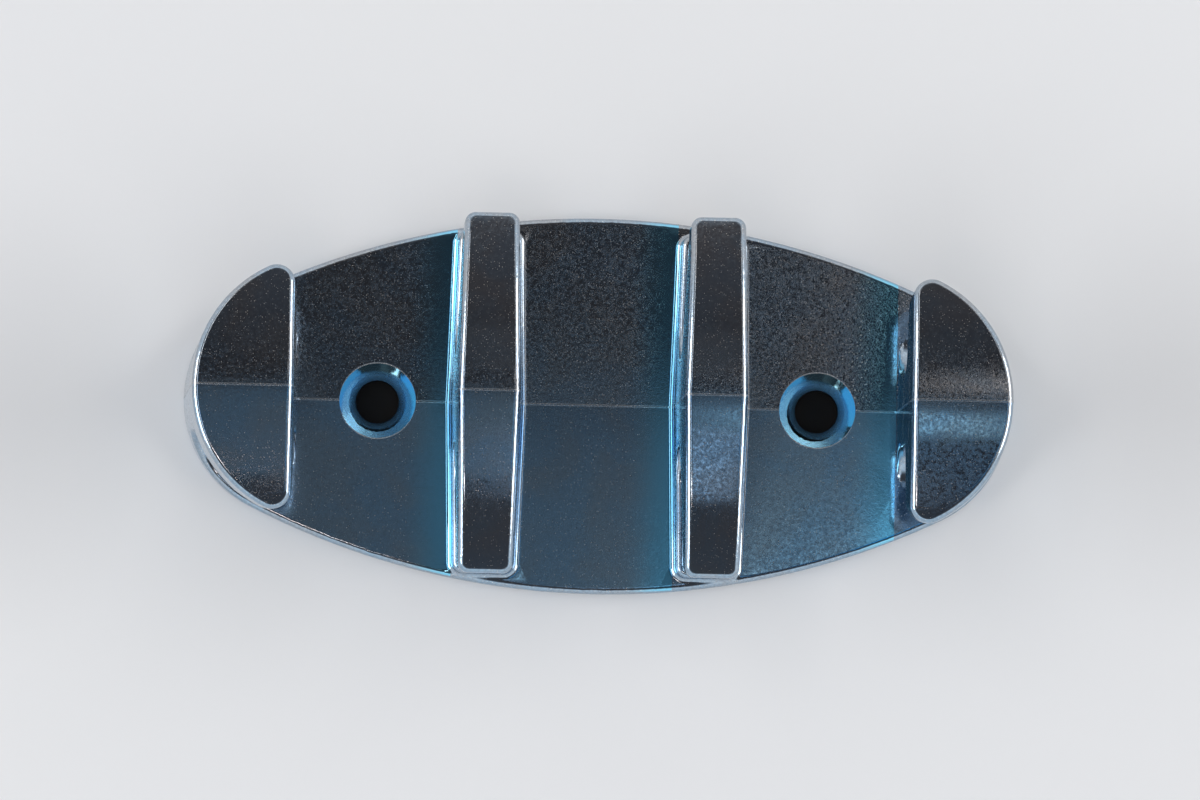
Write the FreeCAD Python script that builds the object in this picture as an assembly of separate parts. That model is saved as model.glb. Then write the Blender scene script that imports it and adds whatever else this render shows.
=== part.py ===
import FreeCAD, Part
import math
import os

# Zig zag cleat: a rope cleat for a deck, die cast in one piece.
# The die opens crosswise, along Y, so the line notches come straight out of it.
# Every face that the die slides along leans away from the parting plane, Y = 0.
# X runs along the cleat, Y across it, and Z is up from the deck. Lengths are millimetres.
# The casting is the same in all four quarters, so one quarter is built and mirrored.

V = FreeCAD.Vector

# Base, an oval of four arcs
length = 101.6
width = 46.0
base_end_radius = 14.5
base_thickness = 3.5
base_fall_angle = 0.8
rim_radius = 0.8
seat_edge = 0.3

# Crown over all four heads
height = 25.4
crown_radius = 62.0
crown_edge_radius = 0.8

# End posts, whose outer walls lean in from the base to the crown
crown_length = 99.0
crown_end_radius = 16.4
cap_flat_x = 37.3
cap_stem_half = 4.6
cap_roof_y = 16.0
cap_head_depth = 9.1
cap_roof_radius = 60.0

# Middle posts
bar_x = 13.7
bar_width = 7.5
bar_reach = 22.1
bar_foot_reach = 20.9
bar_corner_radius = 1.3
bar_stem_half = 5.1
bar_head_depth = 8.2
bar_roof_radius = 31.0
foot_height = 2.5

# Notches
nose_radius = 2.0
heel_radius = 5.0
least_stem = 0.1
bar_edge_radius = 0.6

# Drafts, in degrees
flank_draft = 1.5
flat_draft = 0.5
flank_lean = 1.4

# Grip ribs on the feet of the middle posts
rib_count = 3
rib_pitch = 2.3
rib_radius = 0.8
rib_height = 0.55
rib_end_gap = 0.9

# Root fillets, where the middle posts meet the base
root_radius = 0.8

# Screw holes
hole_spacing = 53.98
hole_diameter = 5.2
countersink_diameter = 9.4
countersink_angle = 82.0

node_name = "cleat_casting"

# How far cutting tools reach past the metal, and the length below which two places are one
past = 5.0
tiny = 0.001

# Posts are sunk this far into the base, below its rounded rim
post_bottom = base_thickness / 2


def tan(angle):
    return math.tan(math.radians(angle))


def round_point(centre, radius, angle, z):
    """A point on a level circle, at an angle in degrees from the X axis."""
    turn = math.radians(angle)
    return V(centre[0] + radius * math.cos(turn), centre[1] + radius * math.sin(turn), z)


def arc(centre, radius, from_angle, to_angle, z):
    """A level arc."""
    angles = (from_angle, (from_angle + to_angle) / 2, to_angle)
    return Part.Arc(*[round_point(centre, radius, angle, z) for angle in angles]).toShape()


def line(start, end):
    return Part.LineSegment(start, end).toShape()


def slimness():
    """How oval the base is. The crown's oval has the same, so that their arcs join in line."""
    return (length / 2 - base_end_radius) / (width / 2 - base_end_radius)


def oval(half_length, end_radius):
    """The end arc's centre, the side arc's centre and radius, and the angle where they join."""
    end_x = half_length - end_radius
    gap = end_x / slimness()
    side_radius = end_radius + (end_x ** 2 + gap ** 2) / (2 * gap)
    side_y = side_radius - end_radius - gap
    join = math.degrees(math.atan2(side_y, end_x))
    return (end_x, 0), (0, -side_y), side_radius, join


def base_outline(half_length, end_radius, z):
    """A quarter of the oval at one height."""
    end, side, side_radius, join = oval(half_length, end_radius)
    middle = V(0, 0, z)
    tip = V(half_length, 0, z)
    flank = round_point(side, side_radius, 90, z)
    end_arc = arc(end, end_radius, 0, join, z)
    side_arc = arc(side, side_radius, join, 90, z)
    return Part.Wire([line(middle, tip), end_arc, side_arc, line(flank, middle)])


def cap_outline(half_length, end_radius, z):
    """Half of an end post at one height: flat inner face, rounded corner and the oval's end arc."""
    end, side, side_radius, join = oval(half_length, end_radius)
    flat_x = cap_flat_x - (height - z) * tan(flank_lean)
    across = math.cos(math.radians(flat_draft))
    turned = math.cos(math.radians(join + flat_draft))
    corner_radius = ((end[0] - flat_x) * across + end_radius * turned) / (1 + turned)
    corner = round_point(end, end_radius - corner_radius, join, z)
    inner = V(flat_x, 0, z)
    tip = V(half_length, 0, z)
    flat_end = round_point(corner, corner_radius, 180 - flat_draft, z)
    corner_arc = arc(corner, corner_radius, 180 - flat_draft, join, z)
    end_arc = arc(end, end_radius, join, 0, z)
    return Part.Wire([line(inner, flat_end), corner_arc, end_arc, line(tip, inner)])


def between(outline):
    """The leaning solid between an outline at the foot and at the crown."""
    foot = outline(length / 2, base_end_radius, 0)
    top = outline(crown_length / 2, crown_end_radius, height)
    return Part.makeLoft([foot, top], True, True)


def along_x(wire):
    """A long solid with a given YZ section."""
    solid = Part.Face(wire).extrude(V(2 * length, 0, 0))
    solid.translate(V(-length, 0, 0))
    return solid


def base_space():
    """Everything under the base's top, two planes that fall away from the parting line."""
    edge_z = base_thickness - width * tan(base_fall_angle)
    corners = [(-width, -past), (width, -past), (width, edge_z), (0, base_thickness), (-width, edge_z)]
    points = [V(0, y, z) for y, z in corners]
    return along_x(Part.makePolygon(points + points[:1]))


def post_space():
    """Everything between the middle of the base and the crown, which curves down to both sides."""
    drop = crown_radius - math.sqrt(crown_radius ** 2 - width ** 2)
    left = V(0, -width, height - drop)
    right = V(0, width, height - drop)
    low_left = V(0, -width, post_bottom)
    low_right = V(0, width, post_bottom)
    crown = Part.Arc(left, V(0, 0, height), right).toShape()
    return along_x(Part.Wire([crown, line(right, low_right), line(low_right, low_left), line(low_left, left)]))


def notch(stem_half, roof_y, head_depth, roof_radius, floor_z):
    """The space under a head on the +Y side: floor, heel, stem, nose and roof."""
    def point(y, z, radius, angle):
        turn = math.radians(angle)
        return V(0, y + radius * math.cos(turn), z + radius * math.sin(turn))

    roof_z = height - head_depth
    roof_centre_z = roof_z - roof_radius
    nose_y = stem_half + nose_radius
    nose_rise = math.sqrt((roof_radius - nose_radius) ** 2 - (roof_y - nose_y) ** 2)
    nose_z = roof_centre_z + nose_rise
    lean = math.degrees(math.atan2(nose_rise, nose_y - roof_y))
    stem_high = V(0, stem_half, nose_z)
    nose_middle = point(nose_y, nose_z, nose_radius, (180 + lean) / 2)
    nose_end = point(nose_y, nose_z, nose_radius, lean)
    roof_middle = point(roof_y, roof_centre_z, roof_radius, (lean + 90) / 2)
    roof_end = V(0, roof_y, roof_z)

    fall = tan(base_fall_angle)
    rise = 1 / math.cos(math.radians(base_fall_angle)) - fall
    stem_foot_z = floor_z - stem_half * fall
    heel = min(heel_radius, (nose_z - least_stem - stem_foot_z) / rise)
    heel_y = stem_half + heel
    heel_z = stem_foot_z + heel * rise
    toe = point(heel_y, heel_z, heel, 270 - base_fall_angle)
    heel_middle = point(heel_y, heel_z, heel, 225)
    stem_low = V(0, stem_half, heel_z)

    roof_out = V(0, width, roof_z)
    floor_out = V(0, width, floor_z - width * fall)
    return along_x(Part.Wire([
        line(floor_out, toe),
        Part.Arc(toe, heel_middle, stem_low).toShape(),
        line(stem_low, stem_high),
        Part.Arc(stem_high, nose_middle, nose_end).toShape(),
        Part.Arc(nose_end, roof_middle, roof_end).toShape(),
        line(roof_end, roof_out),
        line(roof_out, floor_out),
    ]))


def is_sharp(shape, edge):
    """Whether the two faces beside an edge meet there at a clear angle."""
    middle = edge.valueAt((edge.FirstParameter + edge.LastParameter) / 2)
    normals = [face.normalAt(*face.Surface.parameter(middle)) for face in shape.ancestorsOfType(edge, Part.Face)]
    return len(normals) == 2 and normals[0].getAngle(normals[1]) > math.radians(5)


def sharp_edges(shape, low, high):
    """The sharp edges between two heights, apart from those in the planes of the mirrors."""
    def is_between(edge):
        box = edge.BoundBox
        in_mirror = box.XMax < tiny or box.YMax < tiny
        return low - tiny < box.ZMin and box.ZMax < high + tiny and not in_mirror

    return [edge for edge in shape.Edges if is_between(edge) and is_sharp(shape, edge)]


def rounded_post(post, head_depth, notch_edge_radius):
    """A post with its notch outline rounded, and then its crown's edge."""
    head_middle = height - head_depth / 2
    post = post.makeFillet(notch_edge_radius, sharp_edges(post, post_bottom + 2 * tiny, head_middle))
    return post.makeFillet(crown_edge_radius, sharp_edges(post, head_middle, height))


def base_quarter():
    """The base with its rounded rim, and the small edge round its seat."""
    base = between(base_outline).common(base_space())
    base = base.makeFillet(rim_radius, sharp_edges(base, post_bottom, base_thickness))
    return base.makeFillet(seat_edge, sharp_edges(base, 0, 0))


def end_post():
    """Half of an end post. Its notch runs out into the base's rim, so both have one radius."""
    post = between(cap_outline).common(post_space())
    post = post.cut(notch(cap_stem_half, cap_roof_y, cap_head_depth, cap_roof_radius, base_thickness))
    return rounded_post(post.Solids[0], cap_head_depth, rim_radius)


def frustum(low, high):
    """A solid with flat sides between two corner lists, one above the other."""
    def face(points):
        return Part.Face(Part.makePolygon(points + points[:1]))

    count = len(low)
    sides = [face([low[i], low[(i + 1) % count], high[(i + 1) % count], high[i]]) for i in range(count)]
    shell = Part.makeShell([face(low[::-1]), face(high)] + sides)
    shell.sewShape()
    return Part.makeSolid(shell)


def middle_post():
    """Half of a middle post, on X = 0, with a foot under its notch."""
    def section(z):
        share = (z - base_thickness) / (height - base_thickness)
        reach = bar_foot_reach + (bar_reach - bar_foot_reach) * share
        inner = bar_width / 2 + (height - z) * tan(flank_lean)
        outer = inner - reach * tan(flank_draft)
        return [V(inner, 0, z), V(outer, reach, z), V(-outer, reach, z), V(-inner, 0, z)]

    column = frustum(section(0), section(height + past))
    corners = [edge for edge in column.Edges
               if edge.BoundBox.YMin > tiny and edge.BoundBox.ZLength > height]
    column = column.makeFillet(bar_corner_radius, corners)
    foot_top = base_thickness + foot_height
    post = column.common(post_space())
    post = post.cut(notch(bar_stem_half, bar_reach, bar_head_depth, bar_roof_radius, foot_top))
    return rounded_post(post.Solids[0], bar_head_depth, bar_edge_radius)


def foot_ribs():
    """The grip ribs on one foot, half sunk, with round outer ends."""
    fall = V(0, math.cos(math.radians(base_fall_angle)), -math.sin(math.radians(base_fall_angle)))
    run = bar_foot_reach - rib_end_gap - rib_radius - bar_stem_half
    start_z = base_thickness + foot_height - bar_stem_half * tan(base_fall_angle) + rib_height - rib_radius
    ribs = []
    for index in range(rib_count):
        start = V((index - (rib_count - 1) / 2) * rib_pitch, bar_stem_half, start_z)
        ribs.append(Part.makeCylinder(rib_radius, run, start, fall))
        ribs.append(Part.makeSphere(rib_radius, start + fall * run))
    return ribs


def quarter():
    post = middle_post().fuse(foot_ribs())
    post.translate(V(bar_x, 0, 0))
    casting = base_quarter().fuse(post).Solids[0]
    lowest_top = base_thickness - width / 2 * tan(base_fall_angle)
    casting = casting.makeFillet(root_radius, sharp_edges(casting, lowest_top, base_thickness))
    # Rims of the end post and base are one surface past its heel, so this join allows them a tolerance
    return casting.fuse(end_post(), tiny)


def screw_hole(x):
    """A countersunk screw hole as a solid to cut away."""
    sink_depth = (countersink_diameter - hole_diameter) / 2 / tan(countersink_angle / 2)
    wide = countersink_diameter / 2 + past * tan(countersink_angle / 2)
    sink = Part.makeCone(hole_diameter / 2, wide, sink_depth + past, V(x, 0, base_thickness - sink_depth))
    bore = Part.makeCylinder(hole_diameter / 2, base_thickness + past, V(x, 0, -past))
    return sink.fuse(bore)


def cleat():
    corner = quarter()
    half = corner.fuse(corner.mirror(V(0, 0, 0), V(1, 0, 0)))
    whole = half.fuse(half.mirror(V(0, 0, 0), V(0, 1, 0))).removeSplitter()
    for x in (-hole_spacing / 2, hole_spacing / 2):
        whole = whole.cut(screw_hole(x))
    return whole.Solids[0]


if __name__ == "__main__":
    os.makedirs("parts", exist_ok=True)
    casting = cleat()
    print("valid", casting.isValid(), "volume", round(casting.Volume, 1), "faces", len(casting.Faces))
    casting.exportStep("parts/" + node_name + ".step")
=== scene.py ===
# %% [markdown]
# # A zig zag cleat in bright plated zinc
#
# A zig zag cleat stops a rope on a deck. The rope is bent to and fro between four posts, under
# their wide heads, and its own pull holds it there. The whole fitting is one zinc die casting
# with a thin bright plating, so there is a single form to show, and the work goes into its
# surface: a mirror that is a little dirty, a little pitted, and polished along its rims.
#
# The form itself comes from a CAD model. This step loads it as a fixed frame. Nothing in the
# lesson may move it, so its size is measured before anything else is made.

# %% Load the CAD frame and measure it
import math
from functools import partial

import bmesh
import bpy
from mathutils import Matrix, Vector


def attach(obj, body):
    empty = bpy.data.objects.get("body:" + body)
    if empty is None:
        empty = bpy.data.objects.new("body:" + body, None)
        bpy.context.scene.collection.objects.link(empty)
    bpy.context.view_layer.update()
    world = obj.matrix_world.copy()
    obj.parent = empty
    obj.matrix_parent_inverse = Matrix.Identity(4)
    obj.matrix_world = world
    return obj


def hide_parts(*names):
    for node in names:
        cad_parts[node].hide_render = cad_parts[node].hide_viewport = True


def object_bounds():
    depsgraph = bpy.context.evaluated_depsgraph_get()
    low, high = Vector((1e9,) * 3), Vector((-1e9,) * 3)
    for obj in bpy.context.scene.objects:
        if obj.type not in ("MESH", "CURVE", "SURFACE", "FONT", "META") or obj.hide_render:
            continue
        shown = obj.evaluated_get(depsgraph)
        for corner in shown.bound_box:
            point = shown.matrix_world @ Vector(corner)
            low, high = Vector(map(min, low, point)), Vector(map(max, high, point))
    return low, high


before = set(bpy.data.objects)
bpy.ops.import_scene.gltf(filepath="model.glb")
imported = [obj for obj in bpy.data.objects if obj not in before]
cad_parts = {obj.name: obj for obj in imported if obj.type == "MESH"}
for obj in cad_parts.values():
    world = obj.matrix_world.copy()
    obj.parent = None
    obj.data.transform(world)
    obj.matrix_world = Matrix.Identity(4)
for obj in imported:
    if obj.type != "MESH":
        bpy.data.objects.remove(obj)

bpy.context.view_layer.update()
cad_low, cad_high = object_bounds()
MM = 0.001
print("cleat, mm:", [round(side / MM, 2) for side in cad_high - cad_low])

# %% [markdown]
# ## The camera
#
# The cleat lies flat and is seen from almost straight above. The camera stands a little to the
# south of it, five degrees off the upright, and a little to the left. A long lens from more
# than a metre away keeps the heads and the base at nearly the same scale. The long axis of the
# cleat falls by about a degree to the right, so the camera is rolled by as much.

# %% Place the camera
CAMERA_DISTANCE = 1.15
CAMERA_FROM = Vector((-0.031, -0.075, 1.0))
CAMERA_ROLL = math.radians(1.17)
VIEW_WIDTH = 0.146
SENSOR_WIDTH = 36.0
CLIP_START = 0.01

middle = (cad_low + cad_high) / 2


def facing(away):
    """A turn for a camera or lamp that looks back along away, with north at its top."""
    back = away.normalized()
    right = Vector((0, 1, 0)).cross(back).normalized()
    return Matrix((right, back.cross(right), back)).transposed()


def placed(name, data):
    """A new object of that name and data, in the scene."""
    thing = bpy.data.objects.new(name, data)
    bpy.context.scene.collection.objects.link(thing)
    return thing


lens = bpy.data.cameras.new("camera")
lens.sensor_width = SENSOR_WIDTH
lens.lens = SENSOR_WIDTH * CAMERA_DISTANCE / VIEW_WIDTH
lens.clip_start = CLIP_START
camera = placed("camera", lens)
camera.location = middle + CAMERA_FROM.normalized() * CAMERA_DISTANCE
roll = Matrix.Rotation(CAMERA_ROLL, 3, "Z")
camera.rotation_euler = (facing(CAMERA_FROM) @ roll).to_euler()
bpy.context.scene.camera = camera
print("lens, mm:", round(lens.lens, 1))

# %% [markdown]
# ## The studio
#
# Polished metal has hardly any colour of its own. It shows the room. To make the flat tops
# dark and the rounded rims bright, the room is dark straight above, where the flat tops look,
# and bright low down all round, where the rims look. That is how a small shiny part is often
# photographed: inside a white tent, with a dark hole at the top for the lens.
#
# The world is that tent. Its brightness depends on how far a direction is from the zenith, and
# a colour ramp says how much.

# %% Light the world like a tent with a dark top
TENT_LEVEL = 1.0
TENT_STOPS = (
    (0.00, (0.78, 0.80, 0.82)),
    (0.48, (0.98, 0.98, 0.98)),
    (0.60, (0.62, 0.66, 0.70)),
    (0.72, (0.088, 0.083, 0.088)),
    (0.88, (0.068, 0.065, 0.070)),
    (1.00, (0.030, 0.030, 0.034)),
)


def link(tree, source, target):
    tree.links.new(source, target)


def light_the_world():
    world = bpy.data.worlds.new("white_tent")
    world.use_nodes = True
    tree = world.node_tree
    background = tree.nodes["Background"]
    background.inputs["Strength"].default_value = TENT_LEVEL
    direction = tree.nodes.new("ShaderNodeTexCoord")
    parts = tree.nodes.new("ShaderNodeSeparateXYZ")
    ramp = tree.nodes.new("ShaderNodeValToRGB")
    ramp.color_ramp.interpolation = "EASE"
    while len(ramp.color_ramp.elements) < len(TENT_STOPS):
        ramp.color_ramp.elements.new(0.5)
    for element, (height, colour) in zip(ramp.color_ramp.elements, TENT_STOPS):
        element.position = height
        element.color = (*colour, 1)
    link(tree, direction.outputs["Generated"], parts.inputs["Vector"])
    link(tree, parts.outputs["Z"], ramp.inputs["Fac"])
    link(tree, ramp.outputs["Color"], background.inputs["Color"])
    bpy.context.scene.world = world
    return world


print("world:", light_the_world().name)

# %% [markdown]
# Soft boxes give the tent its direction. Two large ones stand left and right and draw the white
# lines along the bars and round the caps. The rest are dim panels near the zenith. A mirror
# shows one place in the sky, so each panel is put where a certain surface looks.
#
# - The crowned heads look south of the zenith along their south halves. The bands light them.
# - A countersink's cone sends light round twice, and ends up looking 16 degrees off the zenith
#   on the side of the wall that one sees. The glows fill the cones, and the sparks make their
#   glints.
# - The glares are too far to the side for any broad face to mirror. Only dull specks catch them.
#
# A panel is given by its angles east and north of the zenith, because that is how one finds
# what a mirror shows. The two large boxes hang far away, so that they light the floor evenly.
# None of them is seen by the camera itself.

# %% Hang the soft boxes
FAR = 6.0
NEAR = 2.0
FAR_BOXES = (
    # name, degrees east and north, degrees wide and tall, brightness, colour
    ("left_box", -61, -10, 25, 47, 4.6, (1.00, 1.00, 1.00)),
    ("right_box", 61, 5, 25, 47, 4.6, (1.00, 0.99, 0.98)),
)
NEAR_PANELS = (
    ("middle_band", 0.5, 1.6, 9.0, 5.4, 0.12, (0.58, 0.82, 1.00)),
    ("south_band", -0.4, -8.5, 7.2, 15, 0.12, (0.58, 0.82, 1.00)),
    ("east_band", 3.95, 1.6, 2.1, 5.4, 0.05, (0.58, 0.82, 1.00)),
    ("bar_band", 2.6, -12, 1.2, 16, 0.90, (0.62, 0.80, 1.00)),
    ("cap_band", 4.5, -1.4, 2.2, 5.2, 0.90, (0.55, 0.85, 1.00)),
    ("north_band", 1.8, 14, 4.4, 10, 0.05, (1.00, 0.93, 0.90)),
    ("west_glow", -15, -1, 9, 22, 0.50, (0.14, 0.53, 0.98)),
    ("east_glow", 11.5, -7, 7, 22, 0.65, (0.14, 0.55, 0.98)),
    ("north_spark", 8.0, 8.0, 3.2, 2.4, 2.2, (1.00, 0.90, 0.84)),
    ("south_spark", -10.5, -17.5, 7, 4.2, 7.0, (1.00, 0.78, 0.68)),
    ("west_glare", -24, 12, 6, 58, 2.3, (1.00, 0.93, 0.88)),
    ("east_glare", 28, 12, 7, 58, 1.2, (1.00, 0.93, 0.88)),
)


def soft_box(distance, name, east, north, wide, tall, brightness, colour):
    """A soft box that looks at the cleat and is as bright from any distance."""
    lamp = bpy.data.lights.new(name, "AREA")
    lamp.shape = "RECTANGLE"
    lamp.size, lamp.size_y = (2 * distance * math.tan(math.radians(a) / 2) for a in (wide, tall))
    lamp.energy = brightness * math.pi * lamp.size * lamp.size_y
    lamp.color = colour
    box = placed(name, lamp)
    away = Vector((math.tan(math.radians(east)), math.tan(math.radians(north)), 1)).normalized()
    box.location = middle + away * distance
    box.rotation_euler = facing(away).to_euler()
    box.visible_camera = False
    return box


for row in FAR_BOXES:
    print("soft box:", soft_box(FAR, *row).name)
for row in NEAR_PANELS:
    print("panel:", soft_box(NEAR, *row).name)

# %% [markdown]
# ## The floor
#
# A plain pale sheet. It keeps the cleat's soft shadow, and it is what the vertical walls of the
# posts mirror. Under each screw hole it has a dark disc, a painted shade that makes the hole look
# dark. The sheet lies a hair below the cleat's seat, so that the two faces never fight.
#
# A few helpers come first. They keep the node trees of the whole lesson short.

# %% Write helpers for node trees
def feed(tree, value, socket):
    """Links a node's output to the socket, or else sets the socket to a plain value."""
    if isinstance(value, bpy.types.NodeSocket):
        link(tree, value, socket)
    else:
        socket.default_value = value


def maths(tree, operation, *values):
    """One step of arithmetic on outputs or numbers."""
    step = tree.nodes.new("ShaderNodeMath")
    step.operation = operation
    for socket, value in zip(step.inputs, values):
        feed(tree, value, socket)
    return step.outputs["Value"]


def ranged(tree, value, low, high, curve="LINEAR"):
    """How far value has come from low to high: 0 at low, 1 at high, and no less or more."""
    step = tree.nodes.new("ShaderNodeMapRange")
    step.interpolation_type = curve
    for name, given in (("Value", value), ("From Min", low), ("From Max", high)):
        feed(tree, given, step.inputs[name])
    return step.outputs["Result"]


def mixed(tree, factor, first, second):
    """A colour between two others, first at factor 0 and second at factor 1."""
    mix = tree.nodes.new("ShaderNodeMix")
    mix.data_type = "RGBA"
    for name, value in (("Factor", factor), ("A", first), ("B", second)):
        feed(tree, value, mix.inputs[name])
    return mix.outputs["Result"]


def noise(tree, place, scale, **settings):
    """Smooth noise over place. The settings are the texture's other inputs by name."""
    texture = tree.nodes.new("ShaderNodeTexNoise")
    for name, value in {"Vector": place, "Scale": scale, **settings}.items():
        feed(tree, value, texture.inputs[name])
    return texture.outputs["Fac"]


def new_material(name):
    """A new material, its tree and its shader."""
    material = bpy.data.materials.new(name)
    material.use_nodes = True
    tree = material.node_tree
    return material, tree, tree.nodes["Principled BSDF"]


print("helpers:", ", ".join(f.__name__ for f in (feed, maths, ranged, mixed, noise, new_material)))

# %% Lay the floor
FLOOR_REACH = 0.9
FLOOR_DROP = 0.05 * MM
FLOOR_COLOUR = (0.80, 0.81, 0.82, 1)
FLOOR_CLOUD_COLOUR = (0.77, 0.78, 0.80, 1)
FLOOR_CLOUDS_PER_METRE = 9.0
FLOOR_ROUGHNESS = 0.7
FLOOR_SHINE = 0.0
HOLE_X = 26.99 * MM
HOLE_SHADE_RADIUS = 2.8 * MM
HOLE_SHADE_STEPS = 48
# Painted shade: a dark disc on the floor under each screw hole makes the hole look dark.
HOLE_SHADE_COLOUR = (0.012, 0.010, 0.009, 1)
HOLE_SHADE_ROUGHNESS = 0.9


def floor_material():
    material, tree, shader = new_material("pale_sheet")
    shader.inputs["Roughness"].default_value = FLOOR_ROUGHNESS
    shader.inputs["Specular IOR Level"].default_value = FLOOR_SHINE
    place = tree.nodes.new("ShaderNodeTexCoord").outputs["Object"]
    cloud = noise(tree, place, FLOOR_CLOUDS_PER_METRE)
    tone = mixed(tree, cloud, FLOOR_COLOUR, FLOOR_CLOUD_COLOUR)
    link(tree, tone, shader.inputs["Base Color"])
    return material


# The painted shade for the discs under the screw holes.
def hole_shade_material():
    material, _, shader = new_material("painted_hole_shade")
    shader.inputs["Base Color"].default_value = HOLE_SHADE_COLOUR
    shader.inputs["Roughness"].default_value = HOLE_SHADE_ROUGHNESS
    return material


def lay_floor():
    sheet = bmesh.new()
    corners = [(-1, -1), (1, -1), (1, 1), (-1, 1)]
    edge = [sheet.verts.new((x * FLOOR_REACH, y * FLOOR_REACH, -FLOOR_DROP)) for x, y in corners]
    rims = [edge]
    first = Vector((HOLE_SHADE_RADIUS, 0, 0))
    angles = [math.tau * step / HOLE_SHADE_STEPS for step in range(HOLE_SHADE_STEPS)]
    turns = [Matrix.Rotation(angle, 3, "Z") for angle in angles]
    for x in (-HOLE_X, HOLE_X):
        centre = Vector((x, 0, -FLOOR_DROP))
        rims.append([sheet.verts.new(centre + turn @ first) for turn in turns])
    loops = [sheet.edges.new((rim[i - 1], rim[i])) for rim in rims for i in range(len(rim))]
    bmesh.ops.triangle_fill(sheet, edges=loops, use_beauty=True, use_dissolve=False)
    # Each disc under a screw hole takes the painted shade.
    for rim in rims[1:]:
        sheet.faces.new(rim).material_index = 1
    mesh = bpy.data.meshes.new("floor")
    sheet.to_mesh(mesh)
    sheet.free()
    mesh.materials.append(floor_material())
    mesh.materials.append(hole_shade_material())
    floor = placed("floor", mesh)
    return floor


print("floor:", lay_floor().name)

# %% [markdown]
# ## The casting
#
# The CAD node is a soup of triangles, with two or more points wherever triangles meet. Shading
# it smooth needs one point there, so a copy is merged. The copy then stands for the node.
#
# Long thin triangles shade badly, because each point's normal is an average of every face
# round it, and slivers pull it off. A Weighted Normal modifier lets the large faces decide:
# flat tops stay flat right up to their rims, and the narrow rims take all of the turn.
# Corners sharper than SHARP_CORNER, such as the countersinks' edges, stay sharp.
#
# The copy is made shorter and lower by the height of the parting ridge that comes next, a
# fortieth of a millimetre, so that cleat and ridge together are as large as the CAD model, and
# no larger. Across the cleat nothing is added, so its width stays.

# %% Merge a copy of the casting and shade it
SHARP_CORNER = math.radians(34)
WELD = 0.001 * MM
RIDGE_HEIGHT = 0.025 * MM

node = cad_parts["cleat_casting"]


def merged_casting(name):
    form = bmesh.new()
    form.from_mesh(node.data)
    bmesh.ops.remove_doubles(form, verts=form.verts, dist=WELD)
    shrink = (1 - RIDGE_HEIGHT / cad_high.x, 1, 1 - RIDGE_HEIGHT / cad_high.z)
    bmesh.ops.scale(form, vec=shrink, verts=form.verts)
    for edge in form.edges:
        edge.smooth = edge.is_manifold and edge.calc_face_angle() < SHARP_CORNER
    for face in form.faces:
        face.smooth = True
    mesh = bpy.data.meshes.new(name)
    form.to_mesh(mesh)
    form.free()
    return placed(name, mesh)


def baked(piece):
    """The piece as its modifiers show it, as a plain mesh with no modifiers."""
    bpy.context.view_layer.update()
    seen = piece.evaluated_get(bpy.context.evaluated_depsgraph_get())
    mesh = bpy.data.meshes.new_from_object(seen)
    mesh.name = piece.name
    piece.modifiers.clear()
    piece.data = mesh
    return piece


casting = merged_casting("zinc_casting")
weigh = casting.modifiers.new("weigh", "WEIGHTED_NORMAL")
weigh.mode = "FACE_AREA_WITH_ANGLE"
weigh.keep_sharp = True
baked(casting)
print("casting:", len(casting.data.vertices), "points,", len(casting.data.polygons), "faces")

# %% [markdown]
# ## The parting ridge
#
# The two halves of the die meet on the cleat's middle plane, and a little zinc creeps between
# them. Trimmed and plated over, it is left as a hair-thin ridge that runs over the base, up
# and down the posts and across the heads.
#
# It follows a path, so Geometry Nodes sweep it. The path is where the middle plane cuts the
# casting: a bisect finds that outline, and only its open parts are kept, without the seat
# below and without the screw holes, where a cutter has taken the ridge away.

# %% Find the ridge's path on the middle plane
COUNTERSINK_RADIUS = 4.7 * MM
SEAT_CLEARANCE = 0.7 * MM
BASE_TOP = 3.5 * MM


def ridge_path(name):
    form = bmesh.new()
    form.from_mesh(casting.data)
    everything = form.verts[:] + form.edges[:] + form.faces[:]
    cut = bmesh.ops.bisect_plane(form, geom=everything, dist=WELD, plane_no=(0, 1, 0))["geom_cut"]
    outline = [part for part in cut if isinstance(part, bmesh.types.BMEdge)]

    def is_open(edge):
        x, _, z = (edge.verts[0].co + edge.verts[1].co) / 2
        in_hole = abs(abs(x) - HOLE_X) < COUNTERSINK_RADIUS and z < BASE_TOP + WELD
        return z > SEAT_CLEARANCE and not in_hole

    kept = [edge for edge in outline if is_open(edge)]
    points = {}
    for edge in kept:
        for vert in edge.verts:
            points.setdefault(vert, len(points))
    mesh = bpy.data.meshes.new(name)
    places = [vert.co[:] for vert in points]
    pairs = [(points[edge.verts[0]], points[edge.verts[1]]) for edge in kept]
    mesh.from_pydata(places, pairs, [])
    form.free()
    length = sum((Vector(places[a]) - Vector(places[b])).length for a, b in pairs)
    print("ridge path:", round(length / MM, 1), "mm in", len(pairs), "steps")
    return placed(name, mesh)


ridge = ridge_path("parting_ridge")

# %% [markdown]
# Plating grows thicker on a sharp corner, so each countersink's mouth has a bead round it, as
# fine as a hair. Its path is the mouth itself: the sharp edges at that distance from the axis.

# %% Find the mouths of the countersinks
MOUTH_SLACK = 0.12 * MM


def mouth_path(name):
    mesh = casting.data
    corners = mesh.attributes["sharp_edge"].data
    kept = []
    for edge in mesh.edges:
        ends = [mesh.vertices[i].co for i in edge.vertices]
        away = [math.hypot(abs(end.x) - HOLE_X, end.y) - COUNTERSINK_RADIUS for end in ends]
        if corners[edge.index].value and all(abs(gap) < MOUTH_SLACK for gap in away):
            kept.append(tuple(edge.vertices))
    numbers = {old: new for new, old in enumerate(sorted({i for pair in kept for i in pair}))}
    path = bpy.data.meshes.new(name)
    pairs = [(numbers[a], numbers[b]) for a, b in kept]
    path.from_pydata([mesh.vertices[i].co[:] for i in numbers], pairs, [])
    print("mouths:", len(pairs), "steps")
    return placed(name, path)


beads = mouth_path("countersink_beads")

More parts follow.
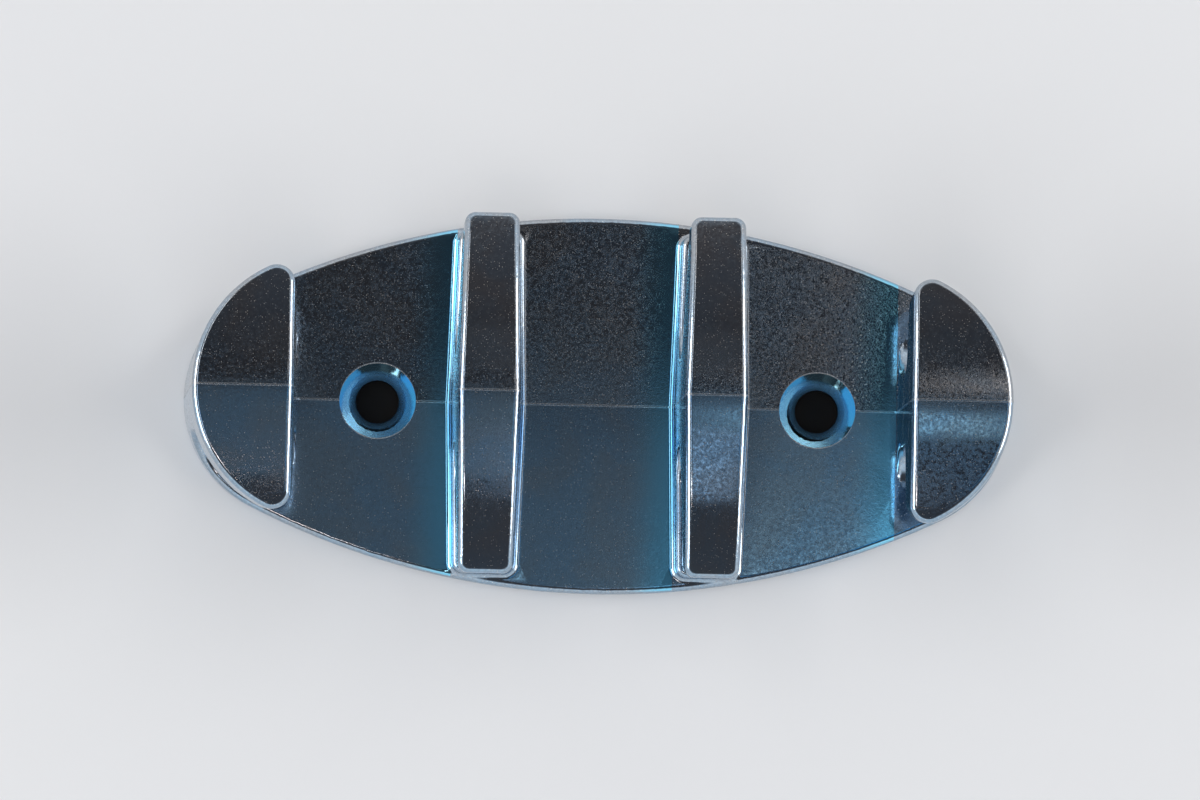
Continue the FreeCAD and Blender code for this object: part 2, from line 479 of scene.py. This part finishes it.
# %% [markdown]
# The tree turns a path into a curve with even steps, holds its normal across the cleat, and
# sweeps a flat oval along it. No ridge is the same height all along, so smooth noise thins it
# here and there, with a seed that keeps it the same each time.

# %% Build the tree that sweeps the ridge and the beads
RIDGE_WAVES_PER_METRE = 160.0
RIDGE_NOISE = (0.35, 0.60)
OVAL_STEPS = 10


def new_tree(name, inputs):
    """An empty geometry tree with named inputs, each given as its name and socket type."""
    tree = bpy.data.node_groups.new(name, "GeometryNodeTree")
    tree.interface.new_socket("Geometry", in_out="INPUT", socket_type="NodeSocketGeometry")
    for title, kind in inputs:
        tree.interface.new_socket(title, in_out="INPUT", socket_type=kind)
    tree.interface.new_socket("Geometry", in_out="OUTPUT", socket_type="NodeSocketGeometry")
    return tree, tree.nodes.new("NodeGroupInput"), tree.nodes.new("NodeGroupOutput")


def run_tree(piece, tree, values):
    """Puts the tree on a piece, with its named inputs set by their identifiers, and bakes it."""
    modifier = piece.modifiers.new(tree.name, "NODES")
    modifier.node_group = tree
    for item in tree.interface.items_tree:
        if item.item_type == "SOCKET" and item.in_out == "INPUT" and item.name in values:
            modifier[item.identifier] = values[item.name]
    return baked(piece)


def ridge_tree():
    tree, given, made = new_tree("ridge_along_path", (
        ("Width", "NodeSocketFloat"),
        ("Height", "NodeSocketFloat"),
        ("Step", "NodeSocketFloat"),
        ("Least Share", "NodeSocketFloat"),
        ("Seed", "NodeSocketFloat"),
        ("Finish", "NodeSocketMaterial"),
    ))
    add = tree.nodes.new
    path = add("GeometryNodeMeshToCurve")
    even = add("GeometryNodeResampleCurve")
    even.mode = "LENGTH"
    across = add("GeometryNodeSetCurveNormal")
    across.mode = "FREE"
    across.inputs["Normal"].default_value = (0, 1, 0)
    waves = add("ShaderNodeTexNoise")
    waves.noise_dimensions = "4D"
    waves.inputs["Scale"].default_value = RIDGE_WAVES_PER_METRE
    share = ranged(tree, waves.outputs["Fac"], *RIDGE_NOISE)
    thin = add("GeometryNodeSetCurveRadius")
    oval = add("GeometryNodeCurvePrimitiveCircle")
    oval.inputs["Resolution"].default_value = OVAL_STEPS
    oval.inputs["Radius"].default_value = 1.0
    size = add("ShaderNodeCombineXYZ")
    size.inputs["Z"].default_value = 1.0
    flat = add("GeometryNodeTransform")
    sweep = add("GeometryNodeCurveToMesh")
    sweep.inputs["Fill Caps"].default_value = True
    smooth = add("GeometryNodeSetShadeSmooth")
    real = add("GeometryNodeRealizeInstances")
    finish = add("GeometryNodeSetMaterial")
    for source, target in (
        (given.outputs["Geometry"], path.inputs["Mesh"]),
        (path.outputs["Curve"], even.inputs["Curve"]),
        (given.outputs["Step"], even.inputs["Length"]),
        (even.outputs["Curve"], across.inputs["Curve"]),
        (given.outputs["Seed"], waves.inputs["W"]),
        (given.outputs["Least Share"], share.node.inputs["To Min"]),
        (across.outputs["Curve"], thin.inputs["Curve"]),
        (share, thin.inputs["Radius"]),
        (maths(tree, "MULTIPLY", given.outputs["Width"], 0.5), size.inputs["X"]),
        (given.outputs["Height"], size.inputs["Y"]),
        (oval.outputs["Curve"], flat.inputs["Geometry"]),
        (size.outputs["Vector"], flat.inputs["Scale"]),
        (thin.outputs["Curve"], sweep.inputs["Curve"]),
        (flat.outputs["Geometry"], sweep.inputs["Profile Curve"]),
        (sweep.outputs["Mesh"], smooth.inputs["Geometry"]),
        (smooth.outputs["Geometry"], real.inputs["Geometry"]),
        (real.outputs["Geometry"], finish.inputs["Geometry"]),
        (given.outputs["Finish"], finish.inputs["Material"]),
        (finish.outputs["Geometry"], made.inputs["Geometry"]),
    ):
        link(tree, source, target)
    return tree


sweeping_tree = ridge_tree()
print("tree:", sweeping_tree.name)

# %% [markdown]
# ## The plating
#
# Seen close, the plating is not one grey. Zinc freezes in fine grains that the thin plating
# does not hide, with pits where gas sat against the die and dull spots where the polish never
# reached. These three make a fine sparkle of light and dark specks.
#
# Casting, ridge and beads share that sparkle, so it is a node group with named inputs and
# outputs. It gives masks and a height only. Each material decides what to do with them.

# %% Make the shared grain group
GRAIN_RANGE = (0.36, 0.66)
SPECK_CHANCE = (0.45, 0.95)
SPECK_EDGE = (0.42, 0.12)
CLOUD_RANGE = (0.38, 0.64)


def shader_group(name, numbers, masks):
    """A group that takes a place and named numbers, and gives out masks."""
    group = bpy.data.node_groups.new(name, "ShaderNodeTree")
    new_socket = group.interface.new_socket
    new_socket("Place", in_out="INPUT", socket_type="NodeSocketVector")
    for title, value in numbers:
        number = new_socket(title, in_out="INPUT", socket_type="NodeSocketFloat")
        number.default_value = value
    for title in masks:
        new_socket(title, in_out="OUTPUT", socket_type="NodeSocketFloat")
    return group, group.nodes.new("NodeGroupInput"), group.nodes.new("NodeGroupOutput")


def cast_grain():
    group, given, made = shader_group(
        "cast_grain",
        (
            ("Grains per Metre", 2600.0),
            ("Specks per Metre", 5000.0),
            ("Clouds per Metre", 130.0),
        ),
        ("Grain", "Specks", "Clouds", "Height"),
    )
    place = given.outputs["Place"]
    rough = noise(group, place, given.outputs["Grains per Metre"], Detail=3.0, Roughness=0.65)
    grain = ranged(group, rough, *GRAIN_RANGE)
    cells = group.nodes.new("ShaderNodeTexVoronoi")
    cells.feature = "F1"
    link(group, place, cells.inputs["Vector"])
    link(group, given.outputs["Specks per Metre"], cells.inputs["Scale"])
    chance = group.nodes.new("ShaderNodeSeparateColor")
    link(group, cells.outputs["Color"], chance.inputs["Color"])
    rare = ranged(group, chance.outputs["Red"], *SPECK_CHANCE)
    spot = ranged(group, cells.outputs["Distance"], *SPECK_EDGE, "SMOOTHSTEP")
    specks = maths(group, "MULTIPLY", rare, spot)
    drift = noise(group, place, given.outputs["Clouds per Metre"], Detail=4.0, Distortion=0.6)
    clouds = ranged(group, drift, *CLOUD_RANGE, "SMOOTHSTEP")
    height = maths(group, "SUBTRACT", grain, specks)
    for name, mask in (
        ("Grain", grain),
        ("Specks", specks),
        ("Clouds", clouds),
        ("Height", height),
    ):
        link(group, mask, made.inputs[name])
    return group


grain_group = cast_grain()
print("group:", grain_group.name)

# %% [markdown]
# The plating ends in a clear blue dip that keeps white rust off. It is thinnest on the broad
# faces. The countersinks are painted strongly blue, a painted reflection, and painted darker
# down in their throats, a painted shade. A blue strip on the base west of each post is a
# painted reflection too. The bores are painted dark, a painted shade, and are dull. North of the
# ridge the colour is painted browner, a painted reflection, and the metal is rougher and more
# speckled; south of it it is cooler and cleaner.
#
# Each of these has a mask. Countersink, throat and bore are told by the distance from the nearer
# screw hole's axis, the strips by the distance to the next post, and the halves by their side.

# %% Make the masks for the screw holes, the painted reflection strips and the two halves
BORE_RADIUS = 2.65 * MM
THROAT_RADII = (3.6 * MM, 3.3 * MM)
SUNK_BY = 0.03 * MM
POST_FACE_X = 36.7 * MM
POST_PITCH = 27.15 * MM
# The blue strip west of each post is a painted reflection; these numbers place it.
STRIP_WIDTH = 6.5 * MM
STRIP_CLIMB = 0.2 * MM
STRIP_FALL = 0.62 * MM
HALF_BLEND = 0.1 * MM


def plating_masks():
    group, given, made = shader_group(
        "plating_masks",
        (
            ("Hole X", HOLE_X),
            ("Cone Radius", COUNTERSINK_RADIUS),
            ("Bore Radius", BORE_RADIUS),
            ("Post Face X", POST_FACE_X),
            ("Post Pitch", POST_PITCH),
            ("Strip Width", STRIP_WIDTH),
            ("Blend", HALF_BLEND),
        ),
        ("Countersink", "Throat", "Bore", "North Half", "Painted Reflection Strip"),
    )
    calc = partial(maths, group)
    parts = group.nodes.new("ShaderNodeSeparateXYZ")
    link(group, given.outputs["Place"], parts.inputs["Vector"])
    x, y, z = (parts.outputs[axis] for axis in "XYZ")
    out = calc("ABSOLUTE", x)

    flat = group.nodes.new("ShaderNodeCombineXYZ")
    link(group, calc("SUBTRACT", out, given.outputs["Hole X"]), flat.inputs["X"])
    link(group, y, flat.inputs["Y"])
    distance = group.nodes.new("ShaderNodeVectorMath")
    distance.operation = "LENGTH"
    link(group, flat.outputs["Vector"], distance.inputs[0])
    away = distance.outputs["Value"]
    sunk = calc("LESS_THAN", z, BASE_TOP - SUNK_BY)
    in_cone = calc("LESS_THAN", away, given.outputs["Cone Radius"])
    in_throat = ranged(group, away, *THROAT_RADII)
    in_bore = calc("LESS_THAN", away, given.outputs["Bore Radius"])

    # Painted reflection: a strip on the base west of each post.
    short_of_post = calc("SUBTRACT", given.outputs["Post Face X"], x)
    before_post = calc("FLOORED_MODULO", short_of_post, given.outputs["Post Pitch"])
    painted_strip = ranged(group, before_post, given.outputs["Strip Width"], 0.0, "SMOOTHSTEP")
    low_down = calc("LESS_THAN", z, BASE_TOP + STRIP_CLIMB)
    above_rim = calc("GREATER_THAN", z, BASE_TOP - STRIP_FALL)
    between_ends = calc("LESS_THAN", out, given.outputs["Post Face X"])
    on_base = calc("MULTIPLY", calc("MULTIPLY", low_down, above_rim), between_ends)

    # The north half carries a painted reflection in the colour, and more roughness and bump.
    blend = given.outputs["Blend"]
    north = ranged(group, y, calc("MULTIPLY", blend, -1.0), blend, "SMOOTHSTEP")
    for name, mask in (
        ("Countersink", calc("MULTIPLY", in_cone, sunk)),
        ("Throat", calc("MULTIPLY", in_throat, sunk)),
        ("Bore", calc("MULTIPLY", in_bore, sunk)),
        ("North Half", north),
        ("Painted Reflection Strip", calc("MULTIPLY", painted_strip, on_base)),
    ):
        link(group, mask, made.inputs[name])
    return group


mask_group = plating_masks()
print("group:", mask_group.name)

# %% [markdown]
# Now the metal itself. It is fully metallic, and its base colour is that of zinc under a clear
# blue dip. Clouds move that colour between a cool and a warm grey, and the north half is painted
# warmer, a painted reflection. Specks are rougher than the mirror round them, so they catch the
# bright sides of the tent and show as light points on the dark tops. The grain's height goes
# through a Bump node, far too fine to be worth triangles.

# %% Make the plated zinc
COOL_ZINC = (0.35, 0.50, 0.65, 1)
WARM_ZINC = (0.50, 0.46, 0.43, 1)
PALE_SPECK = (0.88, 0.78, 0.66, 1)
DARK_GRAIN = (0.18, 0.20, 0.23, 1)
# Painted reflection: the blue strip on the base west of each post.
PAINTED_REFLECTION_BLUE = (0.25, 0.72, 1.0, 1)
# Painted reflection: the countersinks' blue, darker in their throats as painted shade.
CONE_REFLECTION_BLUE = (0.52, 0.80, 0.97, 1)
CONE_REFLECTION_TEAL = (0.62, 0.86, 0.90, 1)
THROAT_SHADE_BLUE = (0.20, 0.52, 0.84, 1)
# Painted shade: the bores are painted nearly black.
PAINTED_BORE_SHADE = (0.03, 0.03, 0.035, 1)

# How much each mask moves the colour.
CLOUD_WARMTH = 0.35
# Painted reflection: the north half is painted warmer.
NORTH_REFLECTION_WARMTH = 0.28
SPECK_SHARE = 0.6
GRAIN_SHARE = 0.35
# How much the painted reflection strip moves the colour.
STRIP_REFLECTION_SHARE = 0.85
# How much the throat's painted shade darkens the cones.
THROAT_SHADE_SHARE = 0.6

# How much each mask moves the roughness and the bump.
CASTING_SMOOTHEST = 0.065
CASTING_DULLEST = 0.42
CASTING_RELIEF = 0.0014 * MM
GRAIN_WEAR = 0.45
NORTH_WEAR = 0.25
STRIP_SMOOTHING = 0.8
CONE_ROUGHNESS = 0.05
THROAT_WEAR = 0.20
BORE_WEAR = 0.2
NORTH_RELIEF = 0.5


def plated_zinc(name, cool, warm, smoothest, dullest, relief):
    material, tree, shader = new_material(name)
    calc = partial(maths, tree)
    mix = partial(mixed, tree)
    place = tree.nodes.new("ShaderNodeTexCoord").outputs["Object"]

    def outputs_of(group):
        node = tree.nodes.new("ShaderNodeGroup")
        node.node_tree = group
        link(tree, place, node.inputs["Place"])
        return node.outputs

    grain = outputs_of(grain_group)
    masks = outputs_of(mask_group)
    north = masks["North Half"]
    shader.inputs["Metallic"].default_value = 1.0

    # Painted reflection: the north half warmer, on top of the random clouds.
    north_reflection = calc("MULTIPLY", north, NORTH_REFLECTION_WARMTH)
    cloud_and_reflection_warmth = calc("MULTIPLY_ADD", grain["Clouds"], CLOUD_WARMTH, north_reflection)
    broad = mix(cloud_and_reflection_warmth, cool, warm)
    specked = mix(calc("MULTIPLY", grain["Specks"], SPECK_SHARE), broad, PALE_SPECK)
    grained = mix(calc("MULTIPLY", grain["Grain"], GRAIN_SHARE), specked, DARK_GRAIN)
    # Painted reflection: the blue strip west of each post.
    painted_strip = mix(calc("MULTIPLY", masks["Painted Reflection Strip"], STRIP_REFLECTION_SHARE), grained, PAINTED_REFLECTION_BLUE)
    # Painted reflection in the countersinks' blue, with painted shade down in their throats.
    cone_reflection = mix(grain["Clouds"], CONE_REFLECTION_BLUE, CONE_REFLECTION_TEAL)
    throat_shade = mix(calc("MULTIPLY", masks["Throat"], THROAT_SHADE_SHARE), cone_reflection, THROAT_SHADE_BLUE)
    cone = mix(masks["Countersink"], painted_strip, throat_shade)
    # Painted shade: the bores.
    link(tree, mix(masks["Bore"], cone, PAINTED_BORE_SHADE), shader.inputs["Base Color"])

    open_face = calc("SUBTRACT", 1.0, masks["Countersink"])
    spots = calc("MAXIMUM", grain["Specks"], calc("MULTIPLY", grain["Grain"], GRAIN_WEAR))
    off_strip = calc("MULTIPLY_ADD", masks["Painted Reflection Strip"], -STRIP_SMOOTHING, 1.0)
    wear = calc("MULTIPLY", calc("MULTIPLY_ADD", north, NORTH_WEAR, 1 - NORTH_WEAR), off_strip)
    uneven = calc("MULTIPLY", calc("MULTIPLY", spots, wear), open_face)
    rough = calc("MULTIPLY_ADD", uneven, dullest - smoothest, smoothest)
    turned = calc("MULTIPLY_ADD", masks["Countersink"], CONE_ROUGHNESS - smoothest, rough)
    worn = calc("MULTIPLY_ADD", masks["Throat"], THROAT_WEAR, turned)
    dull = calc("MULTIPLY_ADD", masks["Bore"], BORE_WEAR, worn)
    link(tree, dull, shader.inputs["Roughness"])

    bump = tree.nodes.new("ShaderNodeBump")
    bump.inputs["Distance"].default_value = relief
    lively = calc("MULTIPLY_ADD", north, NORTH_RELIEF, 1 - NORTH_RELIEF)
    shown = calc("MULTIPLY", lively, open_face)
    link(tree, calc("MULTIPLY", grain["Height"], shown), bump.inputs["Height"])
    link(tree, bump.outputs["Normal"], shader.inputs["Normal"])
    return material


casting_zinc = plated_zinc(
    "bright_zinc", COOL_ZINC, WARM_ZINC, CASTING_SMOOTHEST, CASTING_DULLEST, CASTING_RELIEF
)
casting.data.materials.clear()
casting.data.materials.append(casting_zinc)
print("material:", casting_zinc.name)

# %% [markdown]
# The ridge and the beads are a little brighter than the rest, because handling polishes what
# stands proud. One tree sweeps them both, each with its own size, least share and seed.

# %% Sweep the ridge and the beads in their own brighter zinc
RIDGE_COOL = (0.48, 0.55, 0.62, 1)
RIDGE_WARM = (0.50, 0.48, 0.46, 1)
RIDGE_SMOOTHEST = 0.20
RIDGE_DULLEST = 0.4
RIDGE_RELIEF = 0.004 * MM
RIDGE_WIDTH = 0.26 * MM
BEAD_SIZE = 0.14 * MM
SWEEP_STEP = 0.25 * MM

ridge_zinc = plated_zinc(
    "ridge_zinc", RIDGE_COOL, RIDGE_WARM, RIDGE_SMOOTHEST, RIDGE_DULLEST, RIDGE_RELIEF
)
for piece, width, height, least_share, seed in (
    (ridge, RIDGE_WIDTH, RIDGE_HEIGHT, 0.45, 7.0),
    (beads, BEAD_SIZE, BEAD_SIZE / 2, 0.6, 3.0),
):
    run_tree(piece, sweeping_tree, {
        "Width": width,
        "Height": height,
        "Step": SWEEP_STEP,
        "Least Share": least_share,
        "Seed": seed,
        "Finish": ridge_zinc,
    })
    mesh = piece.data
    print(piece.name + ":", len(mesh.vertices), "points,", len(mesh.polygons), "faces")

# %% [markdown]
# ## Join the pieces to the frame
#
# All three pieces belong to the cleat's one body: the casting, its ridge and the two beads. The
# casting stands for the CAD node, which is then no longer shown.

# %% Join the pieces to the frame and hide the CAD node
for piece in (casting, ridge, beads):
    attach(piece, "root")
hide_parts("cleat_casting")

bpy.context.scene.view_settings.view_transform = "Standard"

bpy.context.view_layer.update()
